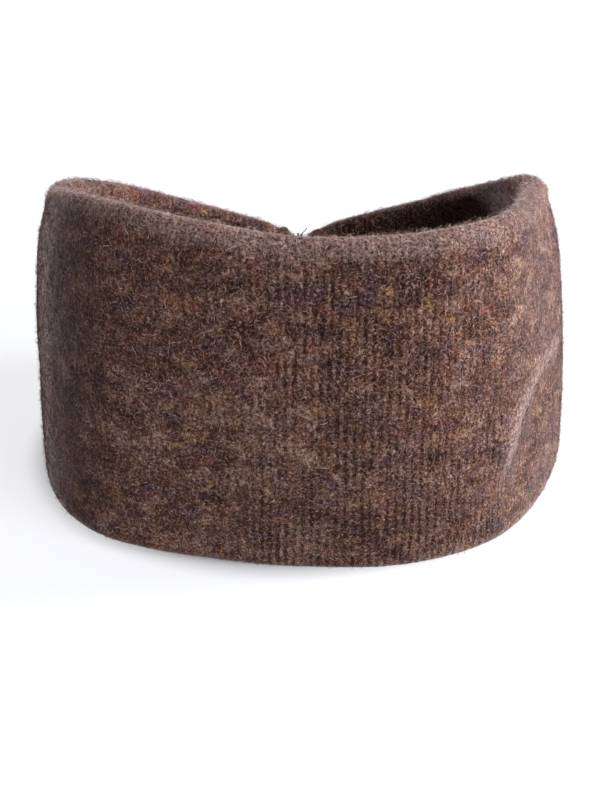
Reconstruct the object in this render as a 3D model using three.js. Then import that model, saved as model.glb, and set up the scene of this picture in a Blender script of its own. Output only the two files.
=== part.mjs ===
// Ear warmer headband: one loop of thick felted wool, tall over the brow and low at the back seam.
// Millimetres, +Z up. The brow faces -Y, the seam is at +Y, and the foot rests on z = 0.
import * as THREE from 'three';

// Driving sizes of the loop
const EAR_SPAN = 187; // outside width of the foot, across the ears
const BROW_REACH = 90; // from the loop's middle to the outside of the brow
const NAPE_REACH = 86; // from the loop's middle to the outside of the nape
const BROW_HEIGHT = 106;
const SEAM_HEIGHT = 48.5; // rim height at the back seam, before the stitches draw it down
const WALL = 7.4; // felt thickness
const RIM_LEAN = 9; // how far the rim stands inside the foot at the ears
const RIM_ROLL = 1.5; // how much thicker each half of the wall gets where the rim rolls over
const RIM_CURL = 4; // how far a rolled rim curls inwards
const BELLY = 1.8; // how far the wall swells out at mid height
const FOOT_LIFT = 3; // how high the foot curls off the table at its worst corner
const FOOT_FLAT = 3.2; // width of the flattened strip that the foot rests on

// The back seam: a furrow in both faces, and the strip's two ends turned in beside it
const FURROW_DEPTH = 1.3;
const FURROW_WIDTH = 5;
const PUCKER_DEPTH = 2.2; // how far the stitches draw the rim down
const PUCKER_WIDTH = 24;
const SEAM_END_WIDTH = 9.5;
const SEAM_END_THICKNESS = 3.4;
const SEAM_END_CORNER = 1.2; // how far its inner edges are rounded off
const SEAM_END_INSET = 1.6; // from the seam's middle to where a turned-in end starts
const SEAM_END_LIFT = 1.5; // its lower edge above the foot's rounding
const SEAM_END_CREST = 4; // the crest of a turned-in end above the puckered rim
const CLEARANCE = 0.3; // gap between pieces that touch

// How finely the surface is cut
const STATIONS_ROUND = 132;
const SEAM_CROWDING = 0.6; // how much closer together the stations lie near the seam
const WALL_STEPS = 9;
const FOLD_STEPS = 6;
const SEAM_END_STEPS = 8;

// The loop's shape, station by station. turn is in degrees from the middle of the brow, positive
// towards +X. reach is a share of the plan oval, rim a share of the rise from SEAM_HEIGHT to
// BROW_HEIGHT, lean a share of RIM_LEAN, lift a share of FOOT_LIFT, and roll a share of RIM_ROLL
// and RIM_CURL.
const STATIONS = [
  { turn: -180, reach: 1.0, rim: 0.0, lean: 0.2, lift: 0.0, roll: 0.0 },
  { turn: -168, reach: 1.0, rim: 0.11, lean: 0.3, lift: 0.0, roll: 0.0 },
  { turn: -150, reach: 1.0, rim: 0.28, lean: 0.5, lift: 0.0, roll: 0.0 },
  { turn: -120, reach: 1.0, rim: 0.58, lean: 0.75, lift: 0.0, roll: 0.2 },
  { turn: -95, reach: 0.975, rim: 0.76, lean: 0.6, lift: 0.0, roll: 0.8 },
  { turn: -75, reach: 0.968, rim: 0.85, lean: 0.55, lift: 0.2, roll: 0.8 },
  { turn: -55, reach: 1.035, rim: 1.0, lean: 0.95, lift: 0.7, roll: 0.2 },
  { turn: -38, reach: 1.08, rim: 1.06, lean: 1.0, lift: 1.2, roll: 0.0 },
  { turn: -20, reach: 1.01, rim: 1.04, lean: 0.2, lift: 0.45, roll: 0.0 },
  { turn: 0, reach: 0.99, rim: 0.985, lean: 0.0, lift: 0.0, roll: 0.0 },
  { turn: 20, reach: 1.035, rim: 0.985, lean: 0.1, lift: 0.0, roll: 0.0 },
  { turn: 40, reach: 1.055, rim: 0.98, lean: 0.5, lift: 0.2, roll: 0.0 },
  { turn: 58, reach: 1.0, rim: 0.95, lean: 0.8, lift: 0.0, roll: 0.45 },
  { turn: 75, reach: 0.98, rim: 0.9, lean: 0.9, lift: 0.0, roll: 1.0 },
  { turn: 95, reach: 0.99, rim: 0.79, lean: 1.0, lift: 0.0, roll: 1.0 },
  { turn: 120, reach: 1.0, rim: 0.58, lean: 0.8, lift: 0.0, roll: 0.4 },
  { turn: 150, reach: 1.0, rim: 0.27, lean: 0.5, lift: 0.0, roll: 0.0 },
  { turn: 168, reach: 1.0, rim: 0.105, lean: 0.3, lift: 0.0, roll: 0.0 },
];
const ROLL_START = 0.78; // share of the wall's height where the roll of the rim begins

// Dents of the whole wall, each along a line of places on it: the hollow under the fold on the
// +X side, and the pinch on the -X side. rise is a share of the wall's height, width a share of
// BROW_HEIGHT and depth a share of WALL.
const DENTS = [
  {
    line: [{ turn: 63, rise: 0.42 }, { turn: 54, rise: 0.35 }, { turn: 46, rise: 0.16 }],
    width: 0.1,
    depth: 0.34,
  },
  {
    line: [{ turn: -84, rise: 0.36 }, { turn: -66, rise: 0.3 }],
    width: 0.1,
    depth: 0.08,
  },
];

const { degToRad, radToDeg, lerp, clamp } = THREE.MathUtils;

// A column of STATIONS as a smooth closed curve through its rows.
function around(column, turn) {
  const count = STATIONS.length;
  const row = (i) => {
    const lap = Math.floor(i / count);
    const station = STATIONS[i - lap * count];
    return { turn: station.turn + 360 * lap, value: station[column] };
  };
  let i = 0;
  while (row(i + 1).turn <= turn) i += 1;
  const [before, from, to, after] = [row(i - 1), row(i), row(i + 1), row(i + 2)];
  const span = to.turn - from.turn;
  const slopeFrom = ((to.value - before.value) / (to.turn - before.turn)) * span;
  const slopeTo = ((after.value - from.value) / (after.turn - from.turn)) * span;
  const t = (turn - from.turn) / span;
  const square = t * t;
  const cube = square * t;
  return (2 * cube - 3 * square + 1) * from.value
    + (cube - 2 * square + t) * slopeFrom
    + (3 * square - 2 * cube) * to.value
    + (cube - square) * slopeTo;
}

// Distance from a place to a line of places, measured on the unrolled wall.
function awayFrom(line, turn, rise) {
  const unrolled = (place) => (
    new THREE.Vector3(degToRad(place.turn) * EAR_SPAN / 2, place.rise * BROW_HEIGHT, 0)
  );
  const here = unrolled({ turn, rise });
  const nearest = new THREE.Vector3();
  let away = Infinity;
  for (let i = 1; i < line.length; i += 1) {
    const stretch = new THREE.Line3(unrolled(line[i - 1]), unrolled(line[i]));
    stretch.closestPointToPoint(here, true, nearest);
    away = Math.min(away, nearest.distanceTo(here));
  }
  return away;
}

// How far the wall is pressed in at a place.
function dentDepth(turn, rise) {
  let depth = 0;
  for (const dent of DENTS) {
    const away = awayFrom(dent.line, turn, rise) / (dent.width * BROW_HEIGHT);
    depth += dent.depth * WALL * Math.exp(-away * away);
  }
  return depth;
}

// 1 on the seam, falling smoothly to 0 at half a width from it.
function nearSeam(turn, width) {
  const away = degToRad(180 - Math.abs(turn)) * NAPE_REACH;
  return 0.5 + 0.5 * Math.cos(Math.PI * Math.min(1, away / (width / 2)));
}

// Outside radius of the foot: an oval that reaches its own way at the brow and at the nape.
function footRadius(turn) {
  const reach = Math.abs(turn) < 90 ? BROW_REACH : NAPE_REACH;
  const across = Math.sin(degToRad(turn)) / (EAR_SPAN / 2);
  const along = Math.cos(degToRad(turn)) / reach;
  return around('reach', turn) / Math.hypot(across, along);
}

function rimHeight(turn) {
  const drawn = PUCKER_DEPTH * nearSeam(turn, PUCKER_WIDTH);
  return lerp(SEAM_HEIGHT, BROW_HEIGHT, around('rim', turn)) - drawn;
}

function footHeight(turn) {
  return FOOT_LIFT * Math.max(0, around('lift', turn));
}

// How much the wall rolls and curls: 0 below the rim, and the station's share at the rim.
function rimRoll(turn, rise) {
  const nearRim = Math.max(0, (rise - ROLL_START) / (1 - ROLL_START));
  return Math.max(0, around('roll', turn)) * nearRim * nearRim;
}

function halfWall(turn, rise) {
  return WALL / 2 + RIM_ROLL * rimRoll(turn, rise);
}

// Radius of the middle of the wall at a share of its height.
function wallRadius(turn, rise) {
  const lean = RIM_LEAN * around('lean', turn) * rise + RIM_CURL * rimRoll(turn, rise);
  const belly = BELLY * 4 * rise * (1 - rise);
  return footRadius(turn) - WALL / 2 - lean + belly - dentDepth(turn, rise);
}

function placed(turn, radius, height) {
  const angle = degToRad(turn);
  return [radius * Math.sin(angle), -radius * Math.cos(angle), height];
}

// One section of the wall: up the outside, over the rim, down the inside and under the foot.
function wallSection(turn) {
  const furrow = FURROW_DEPTH * nearSeam(turn, FURROW_WIDTH);
  const half = (rise) => halfWall(turn, rise) - furrow;
  const low = footHeight(turn) + halfWall(turn, 0);
  const high = rimHeight(turn) - halfWall(turn, 1);
  const points = [];
  const add = (rise, across, up) => {
    points.push(placed(turn, wallRadius(turn, rise) + across, lerp(low, high, rise) + up));
  };
  const rises = Array.from({ length: WALL_STEPS + 1 }, (_, i) => i / WALL_STEPS);
  for (const rise of rises) add(rise, half(rise), 0);
  for (let i = 1; i < FOLD_STEPS; i += 1) {
    const angle = Math.PI * i / FOLD_STEPS;
    add(1, half(1) * Math.cos(angle), halfWall(turn, 1) * Math.sin(angle));
  }
  for (const rise of rises.reverse()) add(rise, -half(rise), 0);
  const flat = FOOT_FLAT / 2;
  for (const side of [-1, 1]) {
    for (let i = 1; i <= FOLD_STEPS / 2; i += 1) {
      const step = side < 0 ? i : FOLD_STEPS / 2 + 1 - i;
      const angle = Math.PI * step / FOLD_STEPS;
      add(0, side * (flat + (half(0) - flat) * Math.cos(angle)), -halfWall(turn, 0) * Math.sin(angle));
    }
  }
  return points;
}

// One section of a turned-in end: up against the band's inside, over the top, down and back.
function seamEndSection(turn, share) {
  const low = footHeight(turn) + halfWall(turn, 0);
  const high = rimHeight(turn) - halfWall(turn, 1);
  const crest = SEAM_END_CREST * Math.sin(Math.PI * share);
  const bottom = low + SEAM_END_LIFT;
  const top = rimHeight(turn) + crest;
  const back = (height) => {
    const rise = clamp((height - low) / (high - low), 0, 1);
    return wallRadius(turn, rise) - halfWall(turn, rise) - CLEARANCE;
  };
  const points = [];
  for (let i = 0; i <= WALL_STEPS; i += 1) {
    const height = lerp(bottom, top - SEAM_END_CORNER, i / WALL_STEPS);
    points.push(placed(turn, back(height), height));
  }
  const middle = SEAM_END_THICKNESS / 2;
  points.push(placed(turn, back(top) - middle, top));
  for (let i = WALL_STEPS; i >= 0; i -= 1) {
    const height = lerp(bottom + SEAM_END_CORNER, top - SEAM_END_CORNER, i / WALL_STEPS);
    points.push(placed(turn, back(height) - SEAM_END_THICKNESS, height));
  }
  points.push(placed(turn, back(bottom) - middle, bottom));
  return points;
}

// An upright section as seen square on: distance from the loop's axis against height.
function squareOn(section) {
  return section.map(([x, y, z]) => new THREE.Vector2(Math.hypot(x, y), z));
}

// A closed body through its sections, joined into a ring or capped at both ends.
function loft(sections, ring) {
  const size = sections[0].length;
  const faces = [];
  const spans = ring ? sections.length : sections.length - 1;
  for (let i = 0; i < spans; i += 1) {
    const here = i * size;
    const next = ((i + 1) % sections.length) * size;
    for (let j = 0; j < size; j += 1) {
      const k = (j + 1) % size;
      faces.push(here + j, next + j, next + k, here + j, next + k, here + k);
    }
  }
  if (!ring) {
    const end = spans * size;
    for (const [a, b, c] of THREE.ShapeUtils.triangulateShape(squareOn(sections[0]), [])) {
      faces.push(a, b, c, end + a, end + c, end + b);
    }
  }
  const geometry = new THREE.BufferGeometry();
  geometry.setAttribute('position', new THREE.Float32BufferAttribute(sections.flat(2), 3));
  geometry.setIndex(faces);
  geometry.computeVertexNormals();
  return geometry;
}

function bandGeometry() {
  const sections = [];
  for (let i = 0; i < STATIONS_ROUND; i += 1) {
    const share = i / STATIONS_ROUND;
    const crowded = share - SEAM_CROWDING * Math.sin(2 * Math.PI * share) / (2 * Math.PI);
    sections.push(wallSection(lerp(-180, 180, crowded)));
  }
  return loft(sections, true);
}

// side is -1 for the turned-in end towards -X and 1 for the one towards +X.
function seamEndGeometry(side) {
  const sections = [];
  for (let i = 0; i <= SEAM_END_STEPS; i += 1) {
    const share = i / SEAM_END_STEPS;
    const away = SEAM_END_INSET + SEAM_END_WIDTH * share;
    sections.push(seamEndSection(side * (180 - radToDeg(away / NAPE_REACH)), share));
  }
  return loft(side > 0 ? sections.reverse() : sections, false);
}

function piece(name, geometry, color) {
  const material = new THREE.MeshStandardMaterial({ color, roughness: 1, metalness: 0 });
  const mesh = new THREE.Mesh(geometry, material);
  mesh.name = name;
  return mesh;
}

const FELT_BROWN = 0x5a4032;
const SHADED_BROWN = 0x3f2b22;

const headband = new THREE.Group();
headband.add(piece('band', bandGeometry(), FELT_BROWN));
headband.add(piece('seam_end_left', seamEndGeometry(-1), SHADED_BROWN));
headband.add(piece('seam_end_right', seamEndGeometry(1), SHADED_BROWN));

// The origin lies on the table, under the middle of the loop's outline from above.
const outline = new THREE.Box3().setFromObject(headband);
const middle = outline.getCenter(new THREE.Vector3());
headband.position.set(-middle.x, -middle.y, 0);

export default headband;
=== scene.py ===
# Ear warmer headband: the looks of one loop of thick felted wool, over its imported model.
# Metres, +Z up. The brow faces -Y, the seam is at +Y, and the foot rests on z = 0.
import math

import bmesh
import bpy
import numpy as np
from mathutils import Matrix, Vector, noise


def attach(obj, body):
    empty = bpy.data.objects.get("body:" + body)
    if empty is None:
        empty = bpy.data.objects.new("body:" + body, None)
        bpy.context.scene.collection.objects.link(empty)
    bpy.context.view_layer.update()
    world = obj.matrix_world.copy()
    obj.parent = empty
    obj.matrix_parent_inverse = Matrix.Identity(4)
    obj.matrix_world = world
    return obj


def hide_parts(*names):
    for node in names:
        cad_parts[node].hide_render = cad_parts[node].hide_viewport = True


MM = 0.001

# Sizes of the loop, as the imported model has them
EAR_SPAN = 187 * MM
BROW_REACH = 90 * MM
NAPE_REACH = 86 * MM
BROW_HEIGHT = 106 * MM
SEAM_HEIGHT = 48.5 * MM
WALL = 7.4 * MM
RIM_LEAN = 9 * MM
RIM_ROLL = 1.5 * MM
RIM_CURL = 4 * MM
ROLL_START = 0.78
BELLY = 1.8 * MM
FOOT_LIFT = 3 * MM
FOOT_FLAT = 3.2 * MM
FURROW_DEPTH = 1.3 * MM
FURROW_WIDTH = 5 * MM
PUCKER_DEPTH = 2.2 * MM
PUCKER_WIDTH = 24 * MM
SEAM_END_THICKNESS = 3.4 * MM
SEAM_END_LIFT = 1.5 * MM
CLEARANCE = 0.3 * MM
LOOP_MIDDLE = (-0.663 * MM, 2.205 * MM)  # the loop's axis is this far from the model's origin

# The loop's shape, station by station: turn in degrees from the middle of the brow, then the
# shares of the plan oval, of the rise to BROW_HEIGHT, of RIM_LEAN, of FOOT_LIFT and of the
# outward roll and inward curl of the rim.
STATIONS = np.array([
    (-180, 1.0, 0.0, 0.2, 0.0, 0.0),
    (-168, 1.0, 0.11, 0.3, 0.0, 0.0),
    (-150, 1.0, 0.28, 0.5, 0.0, 0.0),
    (-120, 1.0, 0.58, 0.75, 0.0, 0.2),
    (-95, 0.975, 0.76, 0.6, 0.0, 0.8),
    (-75, 0.968, 0.85, 0.55, 0.2, 0.8),
    (-55, 1.035, 1.0, 0.95, 0.7, 0.2),
    (-38, 1.08, 1.06, 1.0, 1.2, 0.0),
    (-20, 1.01, 1.04, 0.2, 0.45, 0.0),
    (0, 0.99, 0.985, 0.0, 0.0, 0.0),
    (20, 1.035, 0.985, 0.1, 0.0, 0.0),
    (40, 1.055, 0.98, 0.5, 0.2, 0.0),
    (58, 1.0, 0.95, 0.8, 0.0, 0.45),
    (75, 0.98, 0.9, 0.9, 0.0, 1.0),
    (95, 0.99, 0.79, 1.0, 0.0, 1.0),
    (120, 1.0, 0.58, 0.8, 0.0, 0.4),
    (150, 1.0, 0.27, 0.5, 0.0, 0.0),
    (168, 1.0, 0.105, 0.3, 0.0, 0.0),
])
REACH, RIM, LEAN, LIFT, ROLL = 1, 2, 3, 4, 5

# The raised edge of the fold at the right, and the dents of the whole wall. Each follows a line of
# (turn, rise), with its width as a share of BROW_HEIGHT and its depth as a share of WALL.
FOLD_EDGE = ((66, 0.51), (56, 0.5), (48, 0.475), (44, 0.43), (42, 0.37), (41, 0.29))
DENTS = (
    (((63, 0.42), (54, 0.35), (46, 0.16)), 0.1, 0.34),
    (((-84, 0.36), (-66, 0.3)), 0.1, 0.08),
    (FOLD_EDGE, 0.055, -0.24),
)
# A painted highlight: the fold's raised edge and the rim's outer shoulder are painted pale, where they catch
# the light.
HIGHLIGHT_WIDTH = 4 * MM  # how far the painted highlight reaches to each side of that edge
SHOULDER = 3 * MM  # how far below the rim the painted highlight reaches too
SHOULDER_HIGHLIGHT = 0.6

# How finely the wall is cut
COLUMNS = 1120
OUTSIDE_STEPS = 33
INSIDE_STEPS = 22
RIM_STEPS = 11
FOOT_STEPS = 4

# The knit
WALE = 2.45 * MM  # width of one column of stitches
COURSE = 2.0 * MM  # height of one row of stitches
RIB = 0.08 * MM  # how far a wale stands out between its furrows
LUMPS = 0.35 * MM  # soft unevenness of the felted wall
KNIT_MIDDLE = 15 * MM  # where its columns show most, to the right of the brow's middle
KNIT_SPREAD = 62 * MM
INSIDE_FUZZ = 0.4  # the inside's share of the outside's hairs


# Camera and studio

LENS = 63  # mm, on a sensor 36 mm wide
CAMERA_BACK = 448.5 * MM  # from the loop's axis
CAMERA_UP = 232.5 * MM
CAMERA_DOWN = 26  # degrees below level
WORLD_LIGHT = 0.11  # strength of the world as light
WORLD_SEEN = 0.9  # and as the pale backdrop that the camera sees
SHADE_MIDDLE = (-0.006, -0.002, 0)  # middle of the round place on the floor that gives no light
SHADE_START, SHADE_END = 74 * MM, 94 * MM  # radii between which the floor's glow rises to its full
FLOOR_GLOW = 0.78
FLOOR_SEEN = 0.28  # the least that the camera sees, so that the floor in the loop shows mid grey


def place_camera():
    camera = bpy.data.objects.new("camera", bpy.data.cameras.new("camera"))
    camera.data.sensor_width = 36
    camera.data.lens = LENS
    camera.data.clip_start = 0.02
    camera.location = (LOOP_MIDDLE[0], LOOP_MIDDLE[1] - CAMERA_BACK, CAMERA_UP)
    camera.rotation_euler = (math.radians(90 - CAMERA_DOWN), 0, 0)
    bpy.context.collection.objects.link(camera)
    bpy.context.scene.camera = camera


def add_lamp(name, bearing, height, distance, size, power, color):
    """A round soft lamp that looks at the band. Its bearing turns from the front round to the right,
    and its height rises from level, both in degrees."""
    lamp = bpy.data.lights.new(name, "AREA")
    lamp.shape = "DISK"
    lamp.size = size
    lamp.energy = power
    lamp.color = color
    holder = bpy.data.objects.new(name, lamp)
    bearing, height = math.radians(bearing), math.radians(height)
    level = math.cos(height)
    way = Vector((math.sin(bearing) * level, -math.cos(bearing) * level, math.sin(height)))
    holder.location = way * distance
    holder.rotation_euler = way.to_track_quat("Z", "Y").to_euler()
    bpy.context.collection.objects.link(holder)


def light_studio():
    scene = bpy.context.scene
    scene.view_settings.view_transform = "Standard"
    world = bpy.data.worlds.new("studio")
    world.use_nodes = True
    nodes, links = world.node_tree.nodes, world.node_tree.links
    background = nodes["Background"]
    background.inputs["Color"].default_value = (1.0, 0.95, 0.92, 1)
    seen = nodes.new("ShaderNodeLightPath")
    strength = nodes.new("ShaderNodeMapRange")
    strength.inputs["To Min"].default_value = WORLD_LIGHT
    strength.inputs["To Max"].default_value = WORLD_SEEN
    links.new(seen.outputs["Is Camera Ray"], strength.inputs["Value"])
    links.new(strength.outputs["Result"], background.inputs["Strength"])
    scene.world = world
    add_lamp("side", 101, 29, 1.4, 0.6, 40, (0.99, 1.0, 1.0))
    add_lamp("front", 46, 29, 1.6, 1.0, 43, (1.0, 0.99, 1.0))
    add_lamp("above", 60, 86, 2.2, 0.8, 8, (0.97, 0.98, 1.0))
    add_lamp("behind", 180, 12, 1.7, 2.2, 16, (0.98, 0.97, 1.0))
    add_lamp("left_rim", -142, 5, 1.2, 0.2, 14, (1.0, 0.96, 0.95))


def lay_floor():
    bpy.ops.mesh.primitive_circle_add(vertices=96, radius=6, fill_type="NGON")
    floor = bpy.context.object
    floor.name = "floor"
    material, nodes, links, shader = new_material("light_table")
    shader.inputs["Base Color"].default_value = (0.17, 0.176, 0.19, 1)
    shader.inputs["Roughness"].default_value = 0.9
    shader.inputs["Specular IOR Level"].default_value = 0.0
    shader.inputs["Emission Color"].default_value = (0.98, 0.98, 1.0, 1)
    place = nodes.new("ShaderNodeTexCoord")
    away = nodes.new("ShaderNodeVectorMath")
    away.operation = "DISTANCE"
    away.inputs[1].default_value = SHADE_MIDDLE
    glow = nodes.new("ShaderNodeMapRange")
    glow.interpolation_type = "SMOOTHSTEP"
    for socket, value in (("From Min", SHADE_START), ("From Max", SHADE_END), ("To Max", FLOOR_GLOW)):
        glow.inputs[socket].default_value = value
    links.new(place.outputs["Object"], away.inputs[0])
    links.new(away.outputs["Value"], glow.inputs["Value"])
    seen = nodes.new("ShaderNodeLightPath")
    shown = nodes.new("ShaderNodeMath")
    shown.operation = "MULTIPLY"
    shown.inputs[1].default_value = FLOOR_SEEN
    brighter = nodes.new("ShaderNodeMath")
    brighter.operation = "MAXIMUM"
    links.new(seen.outputs["Is Camera Ray"], shown.inputs[0])
    links.new(shown.outputs["Value"], brighter.inputs[0])
    links.new(glow.outputs["Result"], brighter.inputs[1])
    links.new(brighter.outputs["Value"], shader.inputs["Emission Strength"])
    floor.data.materials.append(material)


# The band's surface


def around(column, turn):
    """A column of STATIONS as a smooth closed curve through its rows."""
    lap = np.zeros(STATIONS.shape[1])
    lap[0] = 360
    rows = np.concatenate([STATIONS[-1:] - lap, STATIONS, STATIONS[:2] + lap])
    i = np.searchsorted(rows[:, 0], turn, side="right") - 1
    before, start, end, after = (rows[i + k, 0] for k in (-1, 0, 1, 2))
    value_before, value, value_end, value_after = (rows[i + k, column] for k in (-1, 0, 1, 2))
    span = end - start
    slope = (value_end - value_before) / (end - before) * span
    slope_end = (value_after - value) / (after - start) * span
    t = (turn - start) / span
    return ((2 * t**3 - 3 * t**2 + 1) * value + (t**3 - 2 * t**2 + t) * slope
            + (3 * t**2 - 2 * t**3) * value_end + (t**3 - t**2) * slope_end)


def away_from(line, turn, rise):
    """Distance to a line of (turn, rise), measured on the unrolled wall."""
    def unrolled(degrees, share):
        return np.stack(np.broadcast_arrays(np.radians(degrees) * EAR_SPAN / 2, share * BROW_HEIGHT), -1)

    here = unrolled(turn, rise)
    nearest = np.inf
    for start, end in zip(line, line[1:]):
        start, along = unrolled(*start), unrolled(*end) - unrolled(*start)
        t = np.clip((here - start) @ along / (along @ along), 0, 1)
        nearest = np.minimum(nearest, np.linalg.norm(here - start - t[..., None] * along, axis=-1))
    return nearest


def dent_depth(turn, rise):
    """How far the wall is pressed in."""
    return sum(share * WALL * np.exp(-(away_from(line, turn, rise) / (width * BROW_HEIGHT)) ** 2)
               for line, width, share in DENTS)


def near_seam(turn, width):
    """1 on the seam, falling smoothly to 0 at half a width from it."""
    away = np.radians(180 - np.abs(turn)) * NAPE_REACH
    return 0.5 + 0.5 * np.cos(np.pi * np.minimum(1, away / (width / 2)))


def foot_radius(turn):
    reach = np.where(np.abs(turn) < 90, BROW_REACH, NAPE_REACH)
    across = np.sin(np.radians(turn)) / (EAR_SPAN / 2)
    return around(REACH, turn) / np.hypot(across, np.cos(np.radians(turn)) / reach)


def rim_height(turn):
    share = around(RIM, turn)
    return SEAM_HEIGHT + (BROW_HEIGHT - SEAM_HEIGHT) * share - PUCKER_DEPTH * near_seam(turn, PUCKER_WIDTH)


def foot_height(turn):
    return FOOT_LIFT * np.maximum(0, around(LIFT, turn))


def rim_roll(turn, rise):
    """How much the wall rolls and curls, from 0 below the rim to its share at the rim."""
    return np.maximum(0, around(ROLL, turn)) * np.maximum(0, (rise - ROLL_START) / (1 - ROLL_START)) ** 2


def half_wall(turn, rise):
    return WALL / 2 + RIM_ROLL * rim_roll(turn, rise)


def wall_radius(turn, rise):
    """Radius of the middle of the wall at a share of its height."""
    lean = RIM_LEAN * around(LEAN, turn) * rise + RIM_CURL * rim_roll(turn, rise)
    belly = BELLY * 4 * rise * (1 - rise)
    return foot_radius(turn) - WALL / 2 - lean + belly - dent_depth(turn, rise)


def placed(turn, radius, height):
    angle = np.radians(turn)
    x = radius * np.sin(angle) + LOOP_MIDDLE[0]
    y = -radius * np.cos(angle) + LOOP_MIDDLE[1]
    return np.stack(np.broadcast_arrays(x, y, height), -1)


def section_rows():
    """Rows of the wall's section as (rise, side, across, up, foot), round from the outside's low end."""
    rows = [(i / OUTSIDE_STEPS, 1, 1, 0, 0) for i in range(OUTSIDE_STEPS + 1)]
    for i in range(1, RIM_STEPS):
        angle = math.pi * i / RIM_STEPS
        rows.append((1, 1, math.cos(angle), math.sin(angle), 0))
    rows += [(i / INSIDE_STEPS, -1, -1, 0, 0) for i in range(INSIDE_STEPS, -1, -1)]
    corner = [math.pi / 2 * i / FOOT_STEPS for i in range(1, FOOT_STEPS + 1)]
    rows += [(0, -1, math.cos(a), -math.sin(a), 1) for a in corner]
    rows += [(0, 1, math.cos(a), -math.sin(a), 1) for a in reversed(corner)]
    return [np.array(column) for column in zip(*rows)]


def even_turns(count):
    """Turns that lie evenly along the foot, from the seam round to the seam."""
    turn = np.linspace(-180, 179.999, 2400)
    run = placed(turn, foot_radius(turn), 0)
    travelled = np.concatenate([[0], np.cumsum(np.linalg.norm(np.diff(run, axis=0), axis=1))])
    return np.interp(np.arange(count) / count * travelled[-1], travelled, turn), travelled[-1]


def band_grid(turn):
    """Points of the wall before its knit, one column for each turn."""
    turn = turn[:, None]
    rise, side, across, up, foot = (row[None, :] for row in section_rows())
    fold, flat = half_wall(turn, rise), FOOT_FLAT / 2
    half = fold - FURROW_DEPTH * near_seam(turn, FURROW_WIDTH)
    out = np.where(foot, side * (flat + (half - flat) * across), half * across)
    low, high = foot_height(turn) + WALL / 2, rim_height(turn) - half_wall(turn, 1)
    return placed(turn, wall_radius(turn, rise) + out, low + (high - low) * rise + up * fold)


def grid_normals(grid):
    along = np.roll(grid, -1, 0) - np.roll(grid, 1, 0)
    over = np.roll(grid, -1, 1) - np.roll(grid, 1, 1)
    normal = np.cross(along, over)
    return normal / np.linalg.norm(normal, axis=-1, keepdims=True)


def soft_noise(points, size, seed):
    """Smooth noise from about -1 to 1 whose lumps are a size across."""
    shift = Vector((seed * 17.3, seed * 5.1, seed * 9.7))
    flat = points.reshape(-1, 3) / size
    found = [noise.noise(Vector(p) + shift) for p in flat]
    return np.array(found).reshape(points.shape[:-1])


def felted_places(grid):
    """How far the knit is felted over, from 0 where its columns show most."""
    felted = ((grid[..., 0] - KNIT_MIDDLE) / KNIT_SPREAD) ** 2 + 0.2 * grid[..., 2] / BROW_HEIGHT
    return np.clip(0.2 + felted + 0.35 * soft_noise(grid, 20 * MM, 3), 0, 1)


def painted_highlight_places(turn):
    """Where a painted highlight lies: the fold's raised edge, and the rim's outer shoulder, which catch the
    light.
    """
    rise, side, across, _, foot = (row[None, :] for row in section_rows())
    outside = (side > 0) & (foot == 0)
    edge = np.exp(-(away_from(FOLD_EDGE, turn[:, None], rise) / HIGHLIGHT_WIDTH) ** 2) * outside
    below = np.clip(1 - (1 - rise) * BROW_HEIGHT / SHOULDER, 0, 1)
    shoulder = below * outside * np.clip(1 + 2 * across, 0, 1)
    return np.maximum(edge, SHOULDER_HIGHLIGHT * shoulder)


def knit_relief(grid, stitch, felted):
    """The wall's points with wales and lumps, which fade out where it rests on the ground."""
    rib = -np.cos(2 * np.pi * stitch) * RIB * (1 - felted)
    lumps = LUMPS * (0.6 * soft_noise(grid, 16 * MM, 4) + 0.4 * soft_noise(grid, 7 * MM, 5))
    grounded = np.clip(grid[..., 2] / (2 * MM), 0, 1)
    return grid + grid_normals(grid) * ((rib + lumps) * grounded)[..., None]


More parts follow.
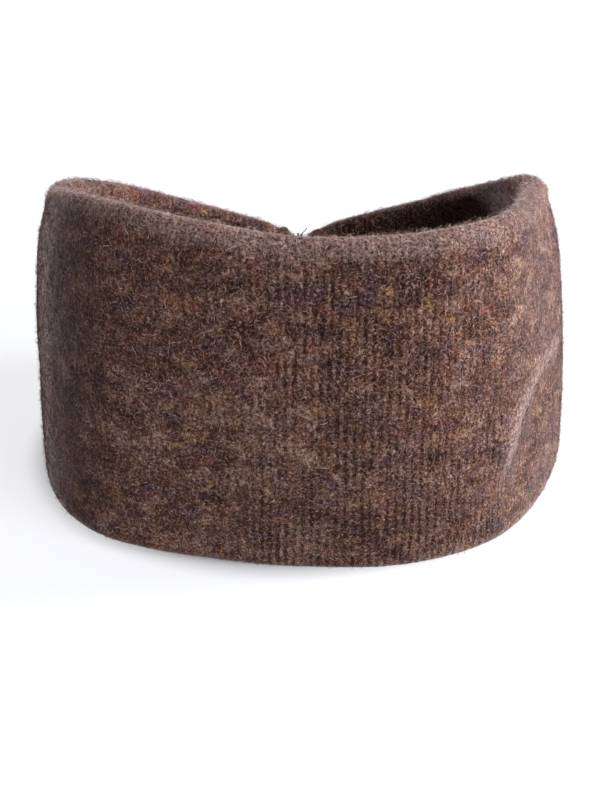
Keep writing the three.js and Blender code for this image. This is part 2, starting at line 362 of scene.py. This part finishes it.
def knit_band():
    """The whole loop as one closed skin, with its knit map and its shares of felt, painted highlight and
    fuzz.
    """
    turn, length = even_turns(COLUMNS)
    grid = band_grid(turn)
    rows = grid.shape[1]
    steps = np.linalg.norm(np.diff(np.concatenate([grid, grid[:, :1]], 1), axis=1), axis=2)
    path = np.concatenate([np.zeros((COLUMNS, 1)), np.cumsum(steps, 1)], 1)
    wales = round(length / WALE)
    wander = soft_noise(grid, 30 * MM, 1) * 0.35 + soft_noise(grid, 8 * MM, 2) * 0.16
    felted = felted_places(grid)
    grid = knit_relief(grid, np.arange(COLUMNS)[:, None] / COLUMNS * wales + wander, felted)

    # Each face's corners lie at (column, row), (column + 1, row), and so on round.
    column, row = np.arange(COLUMNS)[:, None, None], np.arange(rows)[None, :, None]
    i = np.broadcast_to(column + np.array([0, 1, 1, 0]), (COLUMNS, rows, 4))
    j = np.broadcast_to(row + np.array([0, 0, 1, 1]), (COLUMNS, rows, 4))
    mesh = bpy.data.meshes.new("felt_band")
    faces = i % COLUMNS * rows + j % rows
    mesh.from_pydata(grid.reshape(-1, 3), [], faces.reshape(-1, 4).tolist())
    across = i / COLUMNS * wales + wander[i % COLUMNS, j % rows]
    store_map(mesh, "knit", np.stack([across, path[i % COLUMNS, j] / COURSE], -1))

    # For the bake, the left half of the loop lies below the right half, with a margin round each.
    half = COLUMNS // 2
    right = column >= half
    sheet = np.stack([(i - right * half) / half * 0.99 + 0.005, j / rows * 0.49 + 0.005 + right * 0.5], -1)
    store_map(mesh, "OFBake", sheet)

    _, _, _, up, _ = section_rows()
    fuzz = np.where(np.arange(rows) < OUTSIDE_STEPS + RIM_STEPS, 1.0, INSIDE_FUZZ)
    # painted_highlight: where the wool is painted pale as a highlight, on the fold's edge and the rim's
    # shoulder
    for name, share in (("felted", felted), ("painted_highlight", painted_highlight_places(turn)), ("fuzz", fuzz), ("rim", up > 0)):
        store_share(mesh, name, np.broadcast_to(share, felted.shape))
    mesh.shade_smooth()
    return add_piece("felt_band", mesh)


def store_map(mesh, name, corners):
    layer = mesh.uv_layers.new(name=name)
    layer.uv.foreach_set("vector", np.ascontiguousarray(corners, np.float32).ravel())


def store_share(mesh, name, values):
    attribute = mesh.attributes.new(name, "FLOAT", "POINT")
    attribute.data.foreach_set("value", np.ascontiguousarray(values, np.float32).ravel())


def add_piece(name, mesh):
    piece = bpy.data.objects.new(name, mesh)
    bpy.context.collection.objects.link(piece)
    return piece


# Node trees


class Tree:
    """A node tree written as calls. Each call adds a node, and a socket or a value feeds its inputs."""

    def __init__(self, name, kind, inputs, outputs):
        self.tree = bpy.data.node_groups.new(name, kind)
        for in_out, sockets in (("INPUT", inputs), ("OUTPUT", outputs)):
            for socket, socket_type, *value in sockets:
                made = self.tree.interface.new_socket(
                    socket, in_out=in_out, socket_type="NodeSocket" + socket_type)
                if value:
                    made.default_value = value[0]
        self.inputs = self.add("NodeGroupInput").outputs
        self.out = self.add("NodeGroupOutput")

    def add(self, kind, feeds=None, **settings):
        node = self.tree.nodes.new(kind)
        for name, value in settings.items():
            setattr(node, name, value)
        for socket, value in (feeds or {}).items():
            self.feed(node.inputs[socket], value)
        return node

    def feed(self, socket, value):
        if isinstance(value, bpy.types.NodeSocket):
            self.tree.links.new(value, socket)
        else:
            socket.default_value = value

    def math(self, operation, *values):
        return self.add("ShaderNodeMath", dict(enumerate(values)), operation=operation).outputs[0]

    def vector(self, operation, *values):
        node = self.add("ShaderNodeVectorMath", operation=operation)
        for i, value in enumerate(values):
            name = "Scale" if operation == "SCALE" and i == 1 else i
            self.feed(node.inputs[name], value)
        return node.outputs[0]

    def split(self, vector):
        return self.add("ShaderNodeSeparateXYZ", {"Vector": vector}).outputs

    def join(self, x, y, z):
        return self.add("ShaderNodeCombineXYZ", {"X": x, "Y": y, "Z": z}).outputs[0]

    def fade(self, value, low, high, to_low=0.0, to_high=1.0):
        """value taken smoothly from one range to another, and kept inside it."""
        feeds = {0: value, 1: low, 2: high, 3: to_low, 4: to_high}
        return self.add("ShaderNodeMapRange", feeds, interpolation_type="SMOOTHSTEP").outputs[0]

    def noise(self, vector, scale, detail=2.0, roughness=0.5, distortion=0.0):
        """Noise as outputs 0 (a value) and 1 (a colour). Over a place, scale is lumps to a metre."""
        feeds = {"Vector": vector, "Scale": scale, "Detail": detail, "Roughness": roughness,
                 "Distortion": distortion}
        return self.add("ShaderNodeTexNoise", feeds).outputs

    def random(self, low, high, seed, stream):
        """A random vector for each element. Each stream of one seed differs."""
        node = self.add("FunctionNodeRandomValue", data_type="FLOAT_VECTOR")
        self.feed(node.inputs[0], low)
        self.feed(node.inputs[1], high)
        self.feed(node.inputs["Seed"], self.math("ADD", seed, stream))
        return node.outputs[0]

    def named(self, name, data_type="FLOAT"):
        """A stored attribute. Its name is a text or a socket."""
        node = self.add("GeometryNodeInputNamedAttribute", {"Name": name}, data_type=data_type)
        return node.outputs["Attribute"]

    def store(self, geometry, name, value, data_type, domain):
        feeds = {"Geometry": geometry, "Name": name, "Value": value}
        node = self.add("GeometryNodeStoreNamedAttribute", feeds, data_type=data_type, domain=domain)
        return node.outputs[0]

    def blend(self, share, a, b):
        """Colour a, with a share of colour b over it."""
        node = self.add("ShaderNodeMix", data_type="RGBA")
        self.feed(node.inputs[0], share)
        self.feed(node.inputs[6], a)
        self.feed(node.inputs[7], b)
        return node.outputs[2]


def srgb(red, green, blue):
    """A colour picked as 0 to 255 on a screen, in linear light."""
    def linear(value):
        value /= 255
        return value / 12.92 if value <= 0.04045 else ((value + 0.055) / 1.055) ** 2.4

    return (linear(red), linear(green), linear(blue), 1.0)


# Finishes

# The colour of painted shade, in the furrows between the wales and between the fibres
PAINTED_SHADE_BROWN = srgb(26, 9, 6)
DARK_BROWN = srgb(39, 20, 17)
WALNUT = srgb(66, 41, 32)
CHESTNUT = srgb(92, 64, 53)
SAND = srgb(128, 102, 90)
RUST = srgb(104, 56, 42)
OCHRE = srgb(140, 104, 70)
PLUM = srgb(54, 38, 52)
OATMEAL = srgb(174, 150, 144)


def marled_wool():
    """Brown wool spun from many shades: its colour with and without the painted shade and highlight of the
    fine fibres, and its relief. Both colours carry painted shade in the furrows between the wales, and
    painted highlights on the wales, the fold's edge and the rim's shoulder."""
    t = Tree("marled_wool", "ShaderNodeTree",
             [("Place", "Vector"), ("Knit", "Vector"), ("Felted", "Float", 0.5), ("Worn", "Float", 0.0)],
             [("Color", "Color"), ("Yarn", "Color"), ("Height", "Float")])
    place, knit, felted, painted_highlight = (t.inputs[name] for name in ("Place", "Knit", "Felted", "Worn"))

    # Shades of the yarn, in patches that run a little along the rows of stitches
    warp = t.vector("SCALE", t.vector("SUBTRACT", t.noise(place, 450.0, 2.0)[1], (0.5, 0.5, 0.5)), 0.005)
    blurred = t.vector("MULTIPLY", t.vector("ADD", place, warp), (1.0, 1.0, 1.5))
    cloud = t.noise(blurred, 75.0, 2.0, 0.5)[0]
    patch = t.noise(blurred, 190.0, 3.0, 0.6)[0]
    fleck = t.noise(blurred, 520.0, 2.0, 0.6)[0]
    shade = t.math("ADD", t.math("MULTIPLY", cloud, 0.35), t.math("MULTIPLY", patch, 0.4))
    shade = t.math("ADD", shade, t.math("MULTIPLY", fleck, 0.25))
    ramp = t.add("ShaderNodeValToRGB", {"Fac": shade})
    stops = ((0.4, DARK_BROWN), (0.46, WALNUT), (0.53, CHESTNUT), (0.62, SAND))
    while len(ramp.color_ramp.elements) < len(stops):
        ramp.color_ramp.elements.new(0.5)
    for element, (position, color) in zip(ramp.color_ramp.elements, stops):
        element.position = position
        element.color = color
    color = ramp.outputs[0]

    # Each tint has a shift and a scale of its noise, and from one value of it to the next its share grows
    # to the last number.
    tints = ((RUST, 3.7, 130.0, 0.52, 0.68, 0.7), (OCHRE, 8.1, 150.0, 0.54, 0.7, 0.6),
             (PLUM, 12.9, 105.0, 0.51, 0.66, 0.7))
    for tint, shift, scale, low, high, share in tints:
        patch = t.noise(t.vector("ADD", blurred, (shift, shift, shift)), scale, 4.0, 0.65)[0]
        color = t.blend(t.fade(patch, low, high, 0.0, share), color, tint)

    # Furrows between the wales, darkened with painted shade: a dark dash beside each stitch, and longer dark
    # streaks where they join. The raised wales between them get a painted highlight.
    across, up, _ = t.split(knit)
    whole = t.math("ROUND", across)
    aside = t.math("SUBTRACT", across, whole)
    slanted = t.math("ADD", up, t.math("MULTIPLY", aside, 1.4))
    cell = t.join(whole, t.math("FLOOR", slanted), 0.0)
    chance = t.add("ShaderNodeTexWhiteNoise", {"Vector": cell}, noise_dimensions="2D").outputs["Value"]
    gap = t.fade(t.math("ABSOLUTE", aside), 0.08, 0.4, 1.0, 0.0)
    dash = t.math("MULTIPLY", t.fade(t.math("PINGPONG", slanted, 0.5), 0.0, 0.25), t.fade(chance, 0.1, 0.6))
    run = t.noise(t.join(across, t.math("MULTIPLY", up, 0.22), 0.0), 0.8, 3.0, 0.6)[0]
    knitted = t.math("SUBTRACT", 1.0, felted)
    streak = t.math("MULTIPLY", t.fade(run, 0.5, 0.62, 0.0, 0.9), t.fade(felted, 0.4, 1.0, 1.0, 0.15))
    furrow = t.math("MULTIPLY", t.math("MAXIMUM", t.math("MULTIPLY", dash, knitted), streak), gap)
    crest = t.math("MULTIPLY", t.math("SUBTRACT", 1.0, gap), t.math("MULTIPLY", knitted, chance))
    # Painted highlight on the raised wales, then painted shade in the furrows
    color = t.blend(t.math("MULTIPLY", crest, 0.3), color, SAND)
    color = t.blend(t.math("MULTIPLY", furrow, 0.85), color, PAINTED_SHADE_BROWN)
    # Painted highlight: the fold's edge and the rim's shoulder made pale
    color = t.blend(t.math("MULTIPLY", painted_highlight, 0.4), color, OATMEAL)
    t.feed(t.out.inputs["Yarn"], color)

    # The fine tangle of the fibres, in noise: painted shade between them and a painted highlight on top
    fine = t.noise(place, 1300.0, 3.0, 0.7, 0.4)[0]
    color = t.blend(t.fade(fine, 0.36, 0.6, 0.95, 0.0), color, PAINTED_SHADE_BROWN)
    color = t.blend(t.fade(fine, 0.54, 0.74, 0.0, 0.6), color, OATMEAL)
    height = t.math("ADD", t.math("MULTIPLY", furrow, -0.3 * MM), t.math("MULTIPLY", fine, 0.2 * MM))
    t.feed(t.out.inputs["Color"], color)
    t.feed(t.out.inputs["Height"], height)
    return t.tree


def new_material(name):
    material = bpy.data.materials.new(name)
    material.use_nodes = True
    nodes, links = material.node_tree.nodes, material.node_tree.links
    return material, nodes, links, nodes["Principled BSDF"]


def add_wool(nodes, links, wool):
    """The wool's group in a material, fed with the place and with what the mesh stores for it."""
    group = nodes.new("ShaderNodeGroup")
    group.node_tree = wool
    links.new(nodes.new("ShaderNodeTexCoord").outputs["Object"], group.inputs["Place"])
    stored_maps = ("knit", "Vector", "Knit"), ("felted", "Fac", "Felted"), ("painted_highlight", "Fac", "Worn")
    for stored, output, fed in stored_maps:
        attribute = nodes.new("ShaderNodeAttribute")
        attribute.attribute_name = stored
        links.new(attribute.outputs[output], group.inputs[fed])
    return group


def make_woolly(shader, roughness):
    """No gloss, and the soft pinkish sheen of fibres that stand up."""
    wools = (("Roughness", roughness), ("Specular IOR Level", 0.0), ("Sheen Weight", 0.35),
             ("Sheen Roughness", 0.4), ("Sheen Tint", (1.0, 0.86, 0.88, 1)))
    for socket, value in wools:
        shader.inputs[socket].default_value = value


def felt_material(name, wool):
    material, nodes, links, shader = new_material(name)
    group = add_wool(nodes, links, wool)
    bump = nodes.new("ShaderNodeBump")
    bump.inputs["Distance"].default_value = 1.0
    bump.inputs["Strength"].default_value = 0.8
    links.new(group.outputs["Height"], bump.inputs["Height"])
    links.new(group.outputs["Color"], shader.inputs["Base Color"])
    links.new(bump.outputs["Normal"], shader.inputs["Normal"])
    make_woolly(shader, 0.95)
    return material


def hair_material(name, wool, darkest, lightest, pale):
    """Single hairs of the wool beside them. Each has a brightness of its own from darkest to lightest,
    and the brighter half also pale by a share that grows up to pale."""
    material, nodes, links, shader = new_material(name)
    group = add_wool(nodes, links, wool)
    chance = nodes.new("ShaderNodeAttribute")
    chance.attribute_name = "chance"
    paler, brightness, shaded = (nodes.new("ShaderNodeMix") for _ in range(3))
    paler.data_type = brightness.data_type = shaded.data_type = "RGBA"
    spread = nodes.new("ShaderNodeMapRange")
    spread.inputs["From Min"].default_value = 0.5
    spread.inputs["To Max"].default_value = pale
    links.new(chance.outputs["Fac"], spread.inputs["Value"])
    links.new(spread.outputs[0], paler.inputs[0])
    links.new(group.outputs["Yarn"], paler.inputs[6])
    paler.inputs[7].default_value = OATMEAL
    links.new(chance.outputs["Fac"], brightness.inputs[0])
    brightness.inputs[6].default_value = (darkest, darkest, darkest, 1)
    brightness.inputs[7].default_value = (lightest, lightest, lightest, 1)
    shaded.blend_type = "MULTIPLY"
    shaded.inputs[0].default_value = 1.0
    links.new(paler.outputs[2], shaded.inputs[6])
    links.new(brightness.outputs[2], shaded.inputs[7])
    links.new(shaded.outputs[2], shader.inputs["Base Color"])
    make_woolly(shader, 0.7)
    return material


# Loose hairs


def hair_tree():
    """Hairs scattered over a skin, each a thin ribbon that arches over it and bends at random."""
    t = Tree("loose_hairs", "GeometryNodeTree",
             [("Geometry", "Geometry"), ("Where", "String", "fuzz"), ("Density", "Float", 1.0),
              ("Length", "Float", 2.5 * MM), ("Width", "Float", 0.1 * MM), ("Arch", "Float", 0.3 * MM),
              ("Tilt", "Float", 0.2), ("Bend", "Float", 0.4 * MM), ("Steps", "Int", 3), ("Seed", "Int", 0),
              ("Material", "Material")],
             [("Geometry", "Geometry")])
    given = t.inputs
    density = t.math("MULTIPLY", given["Density"], t.named(given["Where"]))
    scatter = t.add("GeometryNodeDistributePointsOnFaces", {
        "Mesh": given["Geometry"], "Density": density, "Seed": given["Seed"]})

    # One hair, a unit long and wide: it narrows at both ends, and its middle stands proud.
    ribbon = t.add("GeometryNodeMeshGrid", {
        "Size X": 1.0, "Size Y": 1.0, "Vertices X": given["Steps"], "Vertices Y": 2})
    here = t.add("GeometryNodeInputPosition").outputs[0]
    cell = t.vector("ADD", t.vector("SCALE", here, 0.8), (0.5, 0.5, 0.0))
    mapped = t.store(ribbon.outputs["Mesh"], "corner", cell, "FLOAT_VECTOR", "POINT")
    x, y, _ = t.split(here)
    arch = t.math("SUBTRACT", 1.0, t.math("MULTIPLY", t.math("MULTIPLY", x, x), 4.0))
    width = t.math("MULTIPLY", y, t.math("ADD", 0.3, t.math("MULTIPLY", arch, 0.7)))
    hair = t.add("GeometryNodeSetPosition", {"Geometry": mapped, "Position": t.join(x, width, arch)})

    # Each is turned any way about the skin's normal, tipped up and rolled a little about its length.
    turn = t.random((-1.2, 0.0, 0.0), (1.2, 0.0, 6.2832), given["Seed"], 1)
    lean = t.vector("SCALE", t.random((0.0, -1.0, 0.0), (0.0, 0.3, 0.0), given["Seed"], 2), given["Tilt"])
    spin = t.add("FunctionNodeRotateRotation", {
        "Rotation": scatter.outputs["Rotation"],
        "Rotate By": t.add("FunctionNodeEulerToRotation", {"Euler": t.vector("ADD", turn, lean)}).outputs[0],
    }, rotation_space="LOCAL")
    size = t.random((0.5, 0.7, 0.2), (1.3, 1.3, 1.2), given["Seed"], 3)
    size = t.vector("MULTIPLY", size, t.join(given["Length"], given["Width"], given["Arch"]))
    planted = t.add("GeometryNodeInstanceOnPoints", {
        "Points": scatter.outputs["Points"], "Instance": hair.outputs[0],
        "Rotation": spin.outputs[0], "Scale": size}).outputs[0]
    chance = t.split(t.random((0.0, 0.0, 0.0), (1.0, 1.0, 1.0), given["Seed"], 4))[0]
    marked = t.store(planted, "chance", chance, "FLOAT", "INSTANCE")
    index = t.add("GeometryNodeInputIndex").outputs[0]
    counted = t.store(marked, "count", index, "INT", "INSTANCE")
    real = t.add("GeometryNodeRealizeInstances", {"Geometry": counted})

    # Its own cell of a square map, for the bake
    total = t.add("GeometryNodeAttributeDomainSize", {"Geometry": counted}, component="INSTANCES")
    side = t.math("CEIL", t.math("SQRT", total.outputs["Instance Count"]))
    count = t.named("count", "INT")
    cell = t.join(t.math("MODULO", count, side), t.math("FLOOR", t.math("DIVIDE", count, side)), 0.0)
    corner = t.vector("ADD", cell, t.named("corner", "FLOAT_VECTOR"))
    cell = t.vector("DIVIDE", corner, t.join(side, side, 1.0))
    mapped = t.store(real.outputs[0], "OFBake", cell, "FLOAT2", "CORNER")

    # Bent, but kept above the ground
    place = t.add("GeometryNodeInputPosition").outputs[0]
    drift = t.vector("SUBTRACT", t.noise(place, 420.0, 1.0)[1], (0.5, 0.5, 0.5))
    moved = t.vector("ADD", place, t.vector("SCALE", drift, given["Bend"]))
    bent = t.add("GeometryNodeSetPosition", {
        "Geometry": mapped, "Position": t.vector("MAXIMUM", moved, (-1.0, -1.0, 0.05 * MM))})
    under = t.add("GeometryNodeSampleNearestSurface", {
        "Mesh": given["Geometry"], "Value": t.named("knit", "FLOAT_VECTOR"), "Sample Position": place,
    }, data_type="FLOAT_VECTOR").outputs["Value"]
    knitted = t.store(bent.outputs[0], "knit", under, "FLOAT_VECTOR", "POINT")
    dressed = t.add("GeometryNodeSetMaterial", {"Geometry": knitted, "Material": given["Material"]})
    t.feed(t.out.inputs["Geometry"], dressed.outputs[0])
    return t.tree


def grown(name, tree, mesh, **sizes):
    """A piece that a tree makes from a mesh, as a plain mesh with no modifier left."""
    maker = add_piece(name + "_maker", mesh)
    modifier = maker.modifiers.new("grown", "NODES")
    modifier.node_group = tree
    for socket in tree.interface.items_tree:
        if socket.name in sizes:
            modifier[socket.identifier] = sizes[socket.name]
    depsgraph = bpy.context.evaluated_depsgraph_get()
    made = bpy.data.meshes.new_from_object(
        maker.evaluated_get(depsgraph), preserve_all_data_layers=True, depsgraph=depsgraph)
    bpy.data.objects.remove(maker)
    made.name = name
    return add_piece(name, made)


# The back seam

SEAM_END_MIDDLE = 6.35 * MM  # from the seam's middle to the middle of a turned-in end
SEAM_END_HALF = 4.75 * MM
SEAM_END_ROWS = 30
SEAM_END_ROUND = 28
SEAM_STITCH = 4.6 * MM  # from one stitch of the seam to the next
SEAM_FIRST_STITCH = 7 * MM
SEAM_END_DOME = np.radians(np.linspace(0, 75, 5))  # angles of the rows that round its top and bottom
SEAM_END_BLUNT = (0.5, 0.7)  # how blunt its section is, across and through
SEAM_END_LUMPS = 0.3 * MM

# One rung's points across the seam, and how deep they lie
RUNG_REACH = np.array([-3.6, -3.1, -1.2, 1.2, 3.1, 3.6]) * MM
RUNG_SUNK = np.array([0.9, -0.1, -0.1, -0.1, -0.1, 0.9]) * MM
RUNG_SLANT = 0.8 * MM
THREAD_SIDES = 8
NOTCH_LOOPS = ((-0.9 * MM, 50.3 * MM), (0.7 * MM, 49.9 * MM))  # middle and top of each


def seam_end(side, crest, peaked):
    """One end of the knitted strip, turned in beside the seam. Its top edge is a hump, crest high."""
    thick = SEAM_END_THICKNESS / 2
    levels = [(0, a, -1) for a in SEAM_END_DOME]
    levels += [(s, math.pi / 2, 0) for s in np.linspace(0, 1, SEAM_END_ROWS)]
    levels += [(1, a, 1) for a in SEAM_END_DOME[::-1]]
    share, angle, way = (np.array(column)[:, None] for column in zip(*levels))
    around_it = (np.arange(SEAM_END_ROUND) / SEAM_END_ROUND * 2 * np.pi)[None, :]
    across = np.sign(np.cos(around_it)) * np.abs(np.cos(around_it)) ** SEAM_END_BLUNT[0]
    through = np.sign(np.sin(around_it)) * np.abs(np.sin(around_it)) ** SEAM_END_BLUNT[1]
    away = SEAM_END_MIDDLE + across * (SEAM_END_HALF - thick + thick * np.sin(angle))
    turn = side * (180 - np.degrees(away / NAPE_REACH))
    hump = crest * np.abs(np.cos(np.pi / 2 * (away - SEAM_END_MIDDLE) / SEAM_END_HALF)) ** peaked
    low = foot_height(turn) + WALL / 2 + SEAM_END_LIFT + thick
    top = rim_height(turn) - thick + hump
    height = low + (top - low) * share + way * thick * np.cos(angle)
    wall_low, wall_high = foot_height(turn) + WALL / 2, rim_height(turn) - WALL / 2
    rise = np.clip((height - wall_low) / (wall_high - wall_low), 0, 1)
    radius = wall_radius(turn, rise) - WALL / 2 - CLEARANCE - thick + through * thick * np.sin(angle)
    grid = placed(turn, radius, height)
    grid = grid + SEAM_END_LUMPS * np.stack([soft_noise(grid, 5 * MM, 7 + k) for k in range(3)], -1)

    rows, cols = grid.shape[:2]
    index = np.arange(rows * cols).reshape(rows, cols)
    after = np.roll(index, -1, 1)
    quads = np.stack([index[:-1], after[:-1], after[1:], index[1:]], -1).reshape(-1, 4)
    name = "felt_end_left" if side < 0 else "felt_end_right"
    mesh = bpy.data.meshes.new(name)
    mesh.from_pydata(grid.reshape(-1, 3), [], quads.tolist())
    i = np.broadcast_to(np.arange(rows - 1)[:, None, None] + np.array([0, 0, 1, 1]), (rows - 1, cols, 4))
    j = np.broadcast_to(np.arange(cols)[None, :, None] + np.array([0, 1, 1, 0]), (rows - 1, cols, 4))
    store_map(mesh, "OFBake", np.stack([j / cols, i / (rows - 1)], -1) * 0.98 + 0.01)
    for share in ("fuzz", "felted", "rim"):
        store_share(mesh, share, np.ones(rows * cols))
    bm = bmesh.new()
    bm.from_mesh(mesh)
    bmesh.ops.remove_doubles(bm, verts=bm.verts, dist=0.01 * MM)
    bmesh.ops.recalc_face_normals(bm, faces=bm.faces)
    bm.to_mesh(mesh)
    bm.free()
    mesh.shade_smooth()
    return add_piece(name, mesh)


def stitch_lines():
    """Lines that the seam's thread follows: the rungs inside, the loops over the notch, a loose end."""
    lines = []
    for height in np.arange(SEAM_FIRST_STITCH, SEAM_HEIGHT - 5 * MM, SEAM_STITCH):
        slant = RUNG_SLANT * math.sin(height * 2100)
        lines.append(beside_seam(RUNG_REACH, height + slant * RUNG_REACH / RUNG_REACH[-1], RUNG_SUNK))
    for middle, top in NOTCH_LOOPS:
        swing = np.radians(np.linspace(-20, 200, 9))
        away = middle + 0.3 * MM * np.sin(2 * swing)
        height = top + 2.4 * MM * (np.sin(swing) - 1)
        lines.append(beside_seam(away, height, 1.7 * MM + 2.1 * MM * np.cos(swing)))
    step = np.linspace(0, 1, 12)
    away = (0.9 + 1.5 * step - 0.7 * np.sin(step * 5)) * MM
    lines.append(beside_seam(away, (48.6 + 4.4 * step) * MM, (1.2 - 1.0 * step) * MM))
    return lines


def beside_seam(away, height, sunk):
    """Points beside the seam, sunk so far outwards from the inner face of the turned-in ends."""
    rise = np.clip((height - WALL / 2) / (rim_height(-180.0) - WALL), 0, 1)
    radius = wall_radius(-180.0, rise) - WALL / 2 - CLEARANCE - SEAM_END_THICKNESS + sunk
    return placed(180 - np.degrees(away / NAPE_REACH), radius, height)


def line_mesh(name, lines):
    mesh = bpy.data.meshes.new(name)
    points = np.concatenate(lines)
    starts = np.cumsum([0] + [len(line) for line in lines])
    edges = [(i, i + 1) for start, end in zip(starts, starts[1:]) for i in range(start, end - 1)]
    mesh.from_pydata(points.tolist(), edges, [])
    return mesh


def thread_tree():
    """A sewing thread swept along each line, with its ends closed."""
    t = Tree("sewing_thread", "GeometryNodeTree",
             [("Geometry", "Geometry"), ("Thickness", "Float", 0.4 * MM), ("Material", "Material")],
             [("Geometry", "Geometry")])
    given = t.inputs
    line = t.add("GeometryNodeMeshToCurve", {"Mesh": given["Geometry"]}).outputs[0]
    smooth = t.add("GeometryNodeCurveSplineType", {"Curve": line}, spline_type="NURBS").outputs[0]
    even = t.add("GeometryNodeResampleCurve", {"Curve": smooth, "Length": 0.3 * MM}, mode="LENGTH")
    along = t.add("GeometryNodeSplineParameter").outputs["Factor"]
    marked = t.store(even.outputs[0], "along", along, "FLOAT", "POINT")
    ring = t.add("GeometryNodeCurvePrimitiveCircle", {
        "Resolution": THREAD_SIDES, "Radius": t.math("MULTIPLY", given["Thickness"], 0.5)},
        mode="RADIUS").outputs[0]
    step = t.math("DIVIDE", t.add("GeometryNodeInputIndex").outputs[0], float(THREAD_SIDES))
    profile = t.store(ring, "round", step, "FLOAT", "POINT")
    tube = t.add("GeometryNodeCurveToMesh", {
        "Curve": marked, "Profile Curve": profile, "Fill Caps": True})
    cell = t.join(t.named("along"), t.named("round"), 0.0)
    mapped = t.store(tube.outputs[0], "OFBake", cell, "FLOAT2", "CORNER")
    real = t.add("GeometryNodeRealizeInstances", {"Geometry": mapped}).outputs[0]
    dressed = t.add("GeometryNodeSetMaterial", {"Geometry": real, "Material": given["Material"]})
    t.feed(t.out.inputs["Geometry"], dressed.outputs[0])
    return t.tree


def thread_material():
    material, nodes, links, shader = new_material("seam_thread")
    place = nodes.new("ShaderNodeTexCoord")
    twist = nodes.new("ShaderNodeTexNoise")
    twist.inputs["Scale"].default_value = 2400.0
    ramp = nodes.new("ShaderNodeValToRGB")
    ramp.color_ramp.elements[0].color = srgb(14, 13, 20)
    ramp.color_ramp.elements[1].color = srgb(40, 37, 50)
    bump = nodes.new("ShaderNodeBump")
    bump.inputs["Distance"].default_value = 0.08 * MM
    links.new(place.outputs["Object"], twist.inputs["Vector"])
    links.new(twist.outputs[0], ramp.inputs["Fac"])
    links.new(twist.outputs[0], bump.inputs["Height"])
    links.new(bump.outputs["Normal"], shader.inputs["Normal"])
    links.new(ramp.outputs[0], shader.inputs["Base Color"])
    shader.inputs["Roughness"].default_value = 0.6
    return material


# The whole headband

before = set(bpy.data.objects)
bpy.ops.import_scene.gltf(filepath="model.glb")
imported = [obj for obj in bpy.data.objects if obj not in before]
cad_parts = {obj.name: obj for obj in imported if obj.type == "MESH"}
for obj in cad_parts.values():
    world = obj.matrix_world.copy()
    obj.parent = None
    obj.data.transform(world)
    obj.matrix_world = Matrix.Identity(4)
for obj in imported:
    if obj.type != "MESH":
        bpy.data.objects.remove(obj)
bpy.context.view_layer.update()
place_camera()
light_studio()
lay_floor()

wool = marled_wool()
knit_finish = felt_material("felted_wool", wool)
end_finish = felt_material("turned_in_wool", wool)
hair_finish = hair_material("loose_hair", wool, 0.42, 1.35, 0.35)
# Standing hairs are paler than lying ones: a painted highlight for the light that fuzz catches at the edges.
fluff_finish = hair_material("standing_hair", wool, 0.7, 1.3, 0.6)

band = knit_band()
band.data.materials.append(knit_finish)
ends = [seam_end(-1, 4.0 * MM, 1.3), seam_end(1, 2.8 * MM, 1.0)]
for end in ends:
    end.data.materials.append(end_finish)

thread = grown("seam_stitches", thread_tree(), line_mesh("stitch_lines", stitch_lines()),
               Material=thread_material())

# The hairs that cover a piece: how many to a square metre, and the tree's sizes for them
SHORT_HAIRS = dict(Density=4.3e5, Length=2.0 * MM, Width=0.1 * MM, Bend=0.1 * MM, Material=hair_finish)
FLUFF = dict(Density=3.4e5, Length=2.7 * MM, Width=0.11 * MM, Arch=0.8 * MM, Tilt=1.5,
             Bend=0.8 * MM, Steps=4, Material=fluff_finish)
RIM_FUZZ = dict(Where="rim", Density=1.0e6, Length=3.2 * MM, Width=0.09 * MM, Arch=1.2 * MM, Tilt=1.0,
                Bend=1.8 * MM, Steps=6, Material=fluff_finish)
STRAYS = dict(Density=1.2e4, Length=6.0 * MM, Width=0.05 * MM, Arch=1.0 * MM, Tilt=0.4,
              Bend=2.6 * MM, Steps=12, Material=fluff_finish)
hairs = hair_tree()
fuzz, end_fuzz = [], []
for number in range(4):
    fuzz.append(grown(f"band_hairs_{number + 1}", hairs, band.data, Seed=20 * number, **SHORT_HAIRS))
fuzz.append(grown("band_fluff", hairs, band.data, Seed=100, **FLUFF))
fuzz.append(grown("rim_fuzz", hairs, band.data, Seed=110, **RIM_FUZZ))
fuzz.append(grown("stray_hairs", hairs, band.data, Seed=120, **STRAYS))
for end, seed in zip(ends, (140, 160)):
    end_fuzz.append(grown(end.name + "_hairs", hairs, end.data, Seed=seed, **RIM_FUZZ))

pieces = [band, *ends, thread, *fuzz, *end_fuzz]
for piece in pieces:
    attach(piece, "root")
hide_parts("band")
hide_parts("seam_end_left")
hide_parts("seam_end_right")
